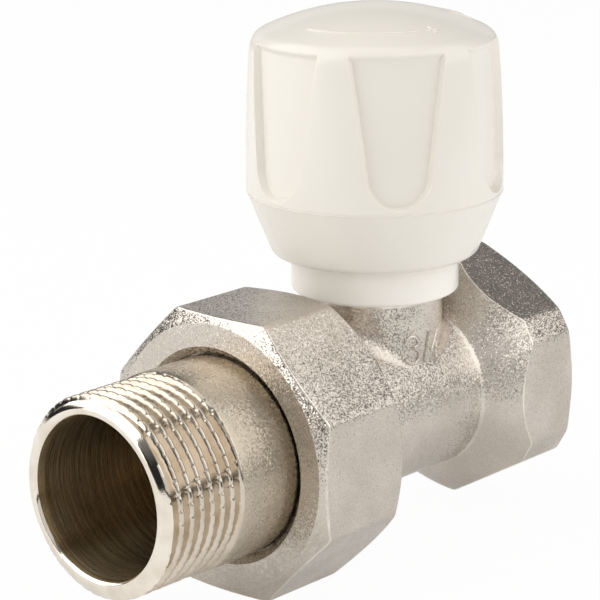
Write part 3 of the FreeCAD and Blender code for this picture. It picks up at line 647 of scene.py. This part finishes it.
def bodyCutters(size):
    chamber, lip, hole, passage = (size[key] for key in ("chamber", "lip", "seatHole", "passage"))
    floor, seatTop, web = (size[key] for key in ("seatFloor", "seatTop", "web"))
    angles = np.radians(np.arange(0, 360, 5))
    rows = [
        (chamber, size["neckTop"] + 1), (chamber, floor), (lip, floor), (lip, seatTop),
        (hole, seatTop), (hole, web - 1),
    ]
    rings = np.stack([alongStem(radius, z, angles) for radius, z in rows])
    poles = [np.array([stemX, 0, rows[0][1]]), np.array([stemX, 0, rows[-1][1]])]
    cutters = [gridMesh("chamberCut", rings, poles, bodyMaterials, [2] * len(rows))]
    for name, level, side, start, end in (
        ("underSeatCut", web, -1, stemX - chamber, size["lowEnd"] + 0.5),
        ("overSeatCut", floor, 1, size["highEnd"] - 0.5, stemX - lip - 0.15),
    ):
        edge = math.asin(level / passage)
        fromEdge, toEdge = (edge, math.pi - edge) if side > 0 else (math.pi - edge, fullTurn + edge)
        sweep = np.linspace(fromEdge, toEdge, 40)
        rings = np.stack([alongPipe(x, passage, sweep) for x in (end, start)])
        middle = passage * 0.5 * side + level * 0.5
        poles = [np.array([x, 0, middle]) for x in (end, start)]
        cutters.append(gridMesh(name, rings, poles, bodyMaterials, [2, 2]))
    return cutters


def combine(piece, other, operation):
    cut = piece.modifiers.new("combine", "BOOLEAN")
    cut.object, cut.operation, cut.solver = other, operation, "MANIFOLD"
    bpy.context.view_layer.update()
    made = bpy.data.meshes.new_from_object(piece.evaluated_get(bpy.context.evaluated_depsgraph_get()))
    piece.modifiers.clear()
    clean = bmesh.new()
    clean.from_mesh(made)
    bmesh.ops.dissolve_degenerate(clean, dist=1e-7, edges=clean.edges)  # edges without length
    clean.to_mesh(made)
    clean.free()
    piece.data = made
    bpy.data.objects.remove(other)


valveBody = bodyShell(bodySize)
combine(valveBody, neckShell(bodySize), "UNION")
for cutter in bodyCutters(bodySize):
    combine(valveBody, cutter, "DIFFERENCE")
finishPiece(valveBody, "valve", ["valve_body"])
print("valve body made:", len(valveBody.data.polygons), "faces")

# Pipe size cast on the neck: plain numerals, drawn as (degrees round the stem, height) strokes, made paler by
# a painted highlight
sizeMark = {
    "width": 0.55, "height": 0.3, "paintedHighlight": 0.5, "step": 0.12,
    "strokes": [
        [
            (-114.5, 10.3), (-112.2, 11.0), (-108.0, 11.35), (-103.6, 11.15), (-100.6, 10.5),
            (-101.6, 9.95), (-106.0, 9.65), (-102.4, 9.4), (-99.6, 8.8), (-100.4, 7.95), (-104.7, 7.5),
            (-109.8, 7.65), (-114.2, 8.25),
        ],
        [(-87.4, 11.4), (-93.8, 7.3)],
        [(-75.4, 11.3), (-84.6, 8.7), (-70.5, 8.6)],
        [(-76.5, 9.9), (-77.5, 7.3)],
    ],
}


def neckPoint(size, angles, heights):  # points on the neck and its saddle, with the way out of the surface
    saddle = size["saddle"]
    ball = np.sqrt((size["barrel"] + saddle) ** 2 - ((size["neck"] + saddle) * np.sin(angles)) ** 2)
    below = np.clip(ball - heights, 0, saddle * 0.95)
    radius = size["neck"] + saddle - np.sqrt(saddle ** 2 - below ** 2)
    outward = np.stack([np.cos(angles), np.sin(angles), below / saddle], axis=-1)
    return alongStem(radius, heights, angles), outward


def neckNumerals(mark, size):
    lines = []
    for stroke in mark["strokes"]:
        path = evenly([(math.radians(angle) * size["neck"], z) for angle, z in stroke], mark["step"])
        lines.append(neckPoint(size, path[:, 0] / size["neck"], path[:, 1]))
    return raisedMarks("neckNumerals", lines, mark, blastedNickel)


finishPiece(neckNumerals(sizeMark, bodySize), "valve", None, 70)
print("neck numerals made")

# Handwheel: tapered wall with six tongue recesses, a parting line at its widest place and a shallow dome
wheelSize = {
    "bottom": 21.5, "cavity": 12.0, "cavityEdge": 0.25, "lipRound": 1.3, "lip": 14.0, "wheel": 17.5,
    "edge": 30.3, "wallTop": 49.3, "wallTopR": 16.88, "wallBulge": 0.17,
    "shoulderR": 15.2, "shoulder": 52.2, "shoulderCorner": (16.79, 51.46), "top": 55.55,
    "ceiling": 51.55, "innerRound": 0.5, "hub": 5.2, "hubBottom": 33.6, "hubEdge": 0.2, "hole": 3.05,
    "holeTop": 43.6,
    "partingLine": (  # (below the edge, out from the wheel's radius)
        (0.35, -0.12), (0.16, -0.06), (0.1, 0.02), (0.04, 0.02),
        (0.0, -0.05), (-0.06, -0.05), (-0.12, 0.0), (-0.3, 0.0),
    ),
    "recesses": 6, "firstAngle": -8.8, "depth": 1.0, "floorTaper": 0.65, "halfTop": 6.4, "recessTop": 50.5,
    "halfBottom": 4.25, "recessBottom": 31.0, "rim": 0.34, "topSlope": 0.36, "recessR": 16.9,
    "leastHalf": 1.8,
}


def arcThrough(a, b, c, steps):
    x, y, radius = circleThrough(a, b, c)
    start, end = math.atan2(a[1] - y, a[0] - x), math.atan2(c[1] - y, c[0] - x)
    if abs(end - start) > math.pi:
        end += math.copysign(fullTurn, start - end)
    swing = start + (end - start) * np.linspace(0, 1, steps)
    return x + radius * np.cos(swing), y + radius * np.sin(swing)


def domeRadius(size):
    rise = size["top"] - size["shoulder"]
    return (size["shoulderR"] ** 2 + rise ** 2) / (2 * rise)


def wheelProfile(size):
    # (radius, z) from the middle of the dome, down the outside, round the lip and up into the hub's hole
    wheel, edge, bottom, lipRound = (size[key] for key in ("wheel", "edge", "bottom", "lipRound"))
    cavity, cavityEdge, ceiling = (size[key] for key in ("cavity", "cavityEdge", "ceiling"))
    hub, hubBottom, soft = (size[key] for key in ("hub", "hubBottom", "innerRound"))
    slope = math.atan2(wheel - size["lip"], edge - bottom)
    turn = (math.pi / 2 - slope) / 2
    lipR = size["lip"] - lipRound * math.tan(turn)
    outer = [(cavity, bottom + cavityEdge), (cavity + cavityEdge, bottom)]
    for swing in 2 * turn * np.linspace(0, 1, 7):
        outer.append((lipR + lipRound * math.sin(swing), bottom + lipRound - lipRound * math.cos(swing)))
    lipEnd = outer[-1]
    for t in (0.3, 0.6, 0.85, 0.93):
        outer.append((lipEnd[0] + (wheel - lipEnd[0]) * t, lipEnd[1] + (edge - lipEnd[1]) * t))
    outer += [(wheel + out, edge - lower) for lower, out in size["partingLine"]]
    wallMiddle = (wheel + size["wallTopR"]) / 2 + size["wallBulge"], (edge + size["wallTop"]) / 2
    wallR, wallZ = arcThrough((wheel, edge), wallMiddle, (size["wallTopR"], size["wallTop"]), 60)
    heights = np.concatenate([  # closer together at both ends of the recesses
        np.arange(size["recessBottom"] - 0.35, size["recessBottom"] + 4.6, 0.15), np.linspace(36.0, 48.5, 11),
        np.arange(48.8, size["wallTop"] - 0.05, 0.2),
    ])
    outer += [(float(np.interp(z, wallZ, wallR)), float(z)) for z in heights]
    wallEnd, shoulderEnd, corner = (np.array(point) for point in (
        (size["wallTopR"], size["wallTop"]), (size["shoulderR"], size["shoulder"]), size["shoulderCorner"]))
    for t in np.linspace(0, 1, 24):
        outer.append(tuple(wallEnd * (1 - t) ** 2 + 2 * t * (1 - t) * corner + shoulderEnd * t ** 2))
    domeR, shoulderR = domeRadius(size), size["shoulderR"]
    for start, end, steps in ((shoulderR - 0.25, shoulderR - 1.5, 5), (shoulderR - 2.5, 0.8, 14)):
        for radius in np.linspace(start, end, steps):
            outer.append((radius, size["top"] - domeR + math.sqrt(domeR ** 2 - radius ** 2)))
    inner = [(cavity, z) for z in np.linspace(bottom + 1.5, ceiling - soft, 6)]
    inner += [
        (cavity - soft, ceiling), (hub + soft, ceiling), (hub, ceiling - soft),
        (hub, hubBottom + size["hubEdge"]), (hub - size["hubEdge"], hubBottom),
        (size["hole"], hubBottom), (size["hole"], size["holeTop"]),
    ]
    return outer[::-1] + inner


def handwheel(size):
    top, bottom, halfTop, halfBottom = (
        size[key] for key in ("recessTop", "recessBottom", "halfTop", "halfBottom"))
    roundAt = bottom + halfBottom  # below this height a recess ends in a half circle
    sector = 360 / size["recesses"]
    middles = [math.radians(size["firstAngle"] + sector * k) for k in range(size["recesses"])]
    land = size["recessR"] * math.sin(math.radians(sector / 2))

    def recessHalf(z):
        if z >= roundAt:
            return halfBottom + (halfTop - halfBottom) * (min(z, top) - roundAt) / (top - roundAt)
        return math.sqrt(max(0, halfBottom ** 2 - (roundAt - z) ** 2)) if z > bottom else 0

    def sideways(z):  # columns across one sector, closer together at the recess's rim
        rim = max(recessHalf(z), size["leastHalf"])
        right = np.concatenate([
            np.linspace(0, rim - 0.6, 7)[:-1], np.linspace(rim - 0.6, rim + 0.5, 12)[:-1],
            np.linspace(rim + 0.5, land, 6)[:-1],
        ])
        return np.concatenate([[-land], -right[:0:-1], right])

    rings = []
    for radius, z in wheelProfile(size):
        across = sideways(min(max(z, bottom), top))
        swing = np.arcsin(np.clip(across / size["recessR"], -0.5, 0.5))
        inside = halfBottom - np.hypot(across, z - roundAt) if z < roundAt else recessHalf(z) - np.abs(across)
        inside = np.minimum(inside, (top + 0.35 - z) * size["topSlope"])
        blend = np.clip((inside + size["rim"] * 0.4) / size["rim"], 0, 1)
        blend = blend * blend * (3 - 2 * blend)
        floor = size["wheel"] - size["depth"] - size["floorTaper"] * (z - size["edge"]) / (top - size["edge"])
        onWall = size["edge"] < z and radius > size["shoulderR"] - 0.01
        sunk = radius - blend * max(0, radius - floor) if onWall else radius
        rings.append(np.concatenate([alongStem(sunk, z, swing + middle) for middle in middles]))
    poles = [np.array([stemX, 0, size[end]]) for end in ("top", "holeTop")]
    return gridMesh("handwheelShell", np.stack(rings), poles, [mouldedAbs])


finishPiece(handwheel(wheelSize), "wheel", ["handwheel"], 50)
print("handwheel made")

# Turning marks on the dome: two plain arcs with a bar, a plus and a minus
turnMark = {
    "width": 0.45, "height": 0.18, "paintedHighlight": 0.5, "step": 0.25, "radius": 12.2,
    "arcs": [(-185, -111), (-42, 66)], "bar": (-42, 10.4, 13.3), "plus": -101, "minus": 79, "signHalf": 0.85,
}


def domeMarks(mark, size):
    domeR = domeRadius(size)
    middle = np.array([stemX, 0, size["top"] - domeR])
    radius, signHalf = mark["radius"], mark["signHalf"]

    def onDome(path):
        height = np.sqrt(domeR ** 2 - path[:, 0] ** 2 - path[:, 1] ** 2)
        out = np.stack([path[:, 0], path[:, 1], height], axis=-1)
        return middle + out, out / domeR

    def polar(away, angle):
        return away * math.cos(math.radians(angle)), away * math.sin(math.radians(angle))

    lines = [[polar(radius, angle) for angle in np.linspace(*arc, 60)] for arc in mark["arcs"]]
    lines.append([polar(away, mark["bar"][0]) for away in mark["bar"][1:]])
    lean = math.degrees(signHalf / radius)
    for angle in (mark["plus"], mark["minus"]):
        lines.append([polar(radius, angle - lean), polar(radius, angle + lean)])
    lines.append([polar(radius - signHalf, mark["plus"]), polar(radius + signHalf, mark["plus"])])
    return raisedMarks("domeMarks", [onDome(evenly(line, mark["step"])) for line in lines], mark, mouldedAbs)


finishPiece(domeMarks(turnMark, wheelSize), "wheel", None, 70)
print("turning marks made")

# CAD nodes that stay: each gets the material of the real part
nodeMaterials = [
    (turnedBrass, ("bonnet", "stem", "gland_nut", "stem_spacer", "valve_disc", "disc_retainer")),
    (collarAbsPaintedLight, ("bonnet_collar",)),
    (small["mouldedNitrile"], ("union_oring", "stem_oring_lower", "stem_oring_upper", "disc_seal")),
    (small["pressedFibre"], ("bonnet_gasket",)),
    (small["skivedPtfe"], ("stem_washer",)),
    (small["zincSteel"], ("disc_washer", "disc_screw", "wheel_clip")),
]
for material, names in nodeMaterials:
    for name in names:
        nodes[name].data.materials.clear()
        nodes[name].data.materials.append(material)
print("node materials set:", sum(len(names) for material, names in nodeMaterials))

# Studio: pale floor with a painted dark reflection ahead of the object, soft boxes and a soft room that is
# darker at the horizon
studio = {
    "floorZ": -18.77, "floorHalf": 8000, "floorColour": "#FDFDFC", "floorSeen": 0.96, "floorMirrored": 0.2,
    "floorGlow": 0.8, "front": (-0.4, -0.917, 0), "reflectedDarkFrom": 190, "reflectedDarkTo": 250,
    "room": "#7C7B7A", "horizon": "#2A2928", "horizonFrom": 10, "horizonTo": 18,
    "horizonAim": (-0.866, 0.5, 0), "horizonSide": {"From Min": 0.5, "From Max": 0.62},
    "target": (-38, 0, 15),
}
softBoxes = [  # name, azimuth, elevation, distance, width, height, glow, colour
    ("leftBox", 135, 42, 700, 1040, 720, 1.58, "#FFFEFB"),
    ("rightBox", 290, 35, 700, 1040, 840, 1.15, "#FFFDF9"),
    ("lowBox", 152, 9, 700, 480, 250, 2.0, "#FFFDF9"),
    ("frontBox", 226, 21, 900, 1000, 740, 0.46, "#FFFDF9"),
    ("topBox", 42, 86, 900, 700, 700, 0.75, "#FFFDF9"),
    ("backBox", 42, 13, 900, 900, 330, 0.45, "#FFFDF9"),
]


def makeFloor(look):
    reach = look["floorHalf"]
    corners = [(-reach, -reach), (reach, -reach), (reach, reach), (-reach, reach)]
    mesh = bpy.data.meshes.new("floor")
    mesh.from_pydata([(x * mm, y * mm, look["floorZ"] * mm) for x, y in corners], [], [(0, 1, 2, 3)])
    material, tree = newMaterial("whitePaperSweep")  # matt white paper: shows white and keeps a faint shadow
    path = addNode(tree, "LightPath").outputs
    share = look["floorGlow"]
    shares = {"Camera": "floorSeen", "Glossy": "floorMirrored", "Transmission": "floorMirrored"}
    for ray, key in shares.items():
        more = look[key] - look["floorGlow"]
        seen = path[f"Is {ray} Ray"]
        share = addNode(tree, "Math", {0: seen, 1: more, 2: share}, operation="MULTIPLY_ADD")
    # a dark patch on the floor ahead of the object, seen only by glossy rays, is a painted reflection of an
    # unlit room
    spot = addNode(tree, "NewGeometry").outputs["Position"]
    ahead = addNode(tree, "VectorMath", {0: spot, 1: look["front"]}, operation="DOT_PRODUCT")
    reflectedDarkRange = {"From Min": look["reflectedDarkFrom"] * mm, "From Max": look["reflectedDarkTo"] * mm}
    beyond = addNode(tree, "MapRange", {"Value": ahead.outputs["Value"], **reflectedDarkRange})
    glossy = path["Is Glossy Ray"]  # only reflections see the dark patch, a painted reflection; the floor stays white for the camera and the light
    beyond = addNode(tree, "Math", {0: beyond, 1: glossy}, operation="MULTIPLY")
    both = {"Factor": beyond, "A": hexToLinear(look["floorColour"]), "B": hexToLinear(look["horizon"])}
    tone = addNode(tree, "Mix", both, data_type="RGBA").outputs["Result"]
    matt = addNode(tree, "BsdfDiffuse", {"Color": tone})
    bright = addNode(tree, "Math", {0: 1.0, 1: beyond}, operation="SUBTRACT")
    glow = addNode(tree, "Emission", {"Strength": bright})
    mixed = addNode(tree, "MixShader", {0: share, 1: matt, 2: glow})
    addNode(tree, "OutputMaterial", {"Surface": mixed})
    material.cycles.emission_sampling = "NONE"  # the glow is a background, not a lamp
    mesh.materials.append(material)
    addObject("floor", mesh)


def makeLights(look, boxes):
    for name, azimuth, elevation, distance, width, height, glow, colour in boxes:
        around, up = math.radians(azimuth), math.radians(elevation)
        toward = Vector((math.cos(around) * math.cos(up), math.sin(around) * math.cos(up), math.sin(up)))
        light = bpy.data.lights.new(name, "AREA")
        light.shape = "RECTANGLE"
        light.size, light.size_y = width * mm, height * mm
        light.energy = glow * math.pi * light.size * light.size_y
        light.color = hexToLinear(colour)[:3]
        lamp = addObject(name, light)
        lamp.visible_camera = False
        lamp.location = Vector(look["target"]) * mm + toward * distance * mm
        lamp.rotation_mode = "QUATERNION"
        lamp.rotation_quaternion = (-toward).to_track_quat("-Z", "Y")


def makeRoom(look):
    world = bpy.data.worlds.new("softRoom")
    world.use_nodes = True
    tree = world.node_tree
    tree.nodes.clear()
    aim = addNode(tree, "TexCoord").outputs["Generated"]
    side = addNode(tree, "VectorMath", {0: aim, 1: look["horizonAim"]}, operation="DOT_PRODUCT")
    side = addNode(tree, "MapRange", {"Value": side.outputs["Value"], **look["horizonSide"]})
    height = addNode(tree, "SeparateXYZ", {0: aim}).outputs["Z"]
    low, high = (math.sin(math.radians(look[key])) for key in ("horizonFrom", "horizonTo"))
    fall = {"From Min": low, "From Max": high, "To Min": 1.0, "To Max": 0.0}
    dark = addNode(tree, "MapRange", {"Value": height, **fall})
    dark = addNode(tree, "Math", {0: dark, 1: side}, operation="MULTIPLY")
    both = {"Factor": dark, "A": hexToLinear(look["room"]), "B": hexToLinear(look["horizon"])}
    tone = addNode(tree, "Mix", both, data_type="RGBA").outputs["Result"]
    seen = addNode(tree, "LightPath").outputs["Is Camera Ray"]
    both = {"Factor": seen, "A": tone, "B": (1, 1, 1, 1)}  # the camera sees plain white behind the floor
    tone = addNode(tree, "Mix", both, data_type="RGBA").outputs["Result"]
    room = addNode(tree, "Background", {"Color": tone})
    addNode(tree, "OutputWorld", {"Surface": room})
    bpy.context.scene.world = world


makeFloor(studio)
makeLights(studio, softBoxes)
makeRoom(studio)

# Camera: the photograph's place, long lens, no shift
cameraPlace = {
    "position": (-285.67, -219.92, 107.52), "right": (0.6658, -0.7460, -0.0113),
    "up": (0.2038, 0.1673, 0.9646), "forward": (0.7177, 0.6445, -0.2635),
    "lens": 153.5, "sensor": 36.0, "near": 10, "far": 20000,
}


def makeCamera(place):
    data = bpy.data.cameras.new("photoCamera")
    data.lens, data.sensor_width = place["lens"], place["sensor"]
    data.clip_start, data.clip_end = place["near"] * mm, place["far"] * mm
    camera = addObject("photoCamera", data)
    turn = Matrix([place["right"], place["up"], [-v for v in place["forward"]]]).transposed()
    turn = turn.to_quaternion().to_matrix().to_4x4()
    camera.matrix_world = Matrix.Translation(Vector(place["position"]) * mm) @ turn
    bpy.context.scene.camera = camera


makeCamera(cameraPlace)
bpy.context.scene.view_settings.view_transform = "Standard"
print("studio and camera set")
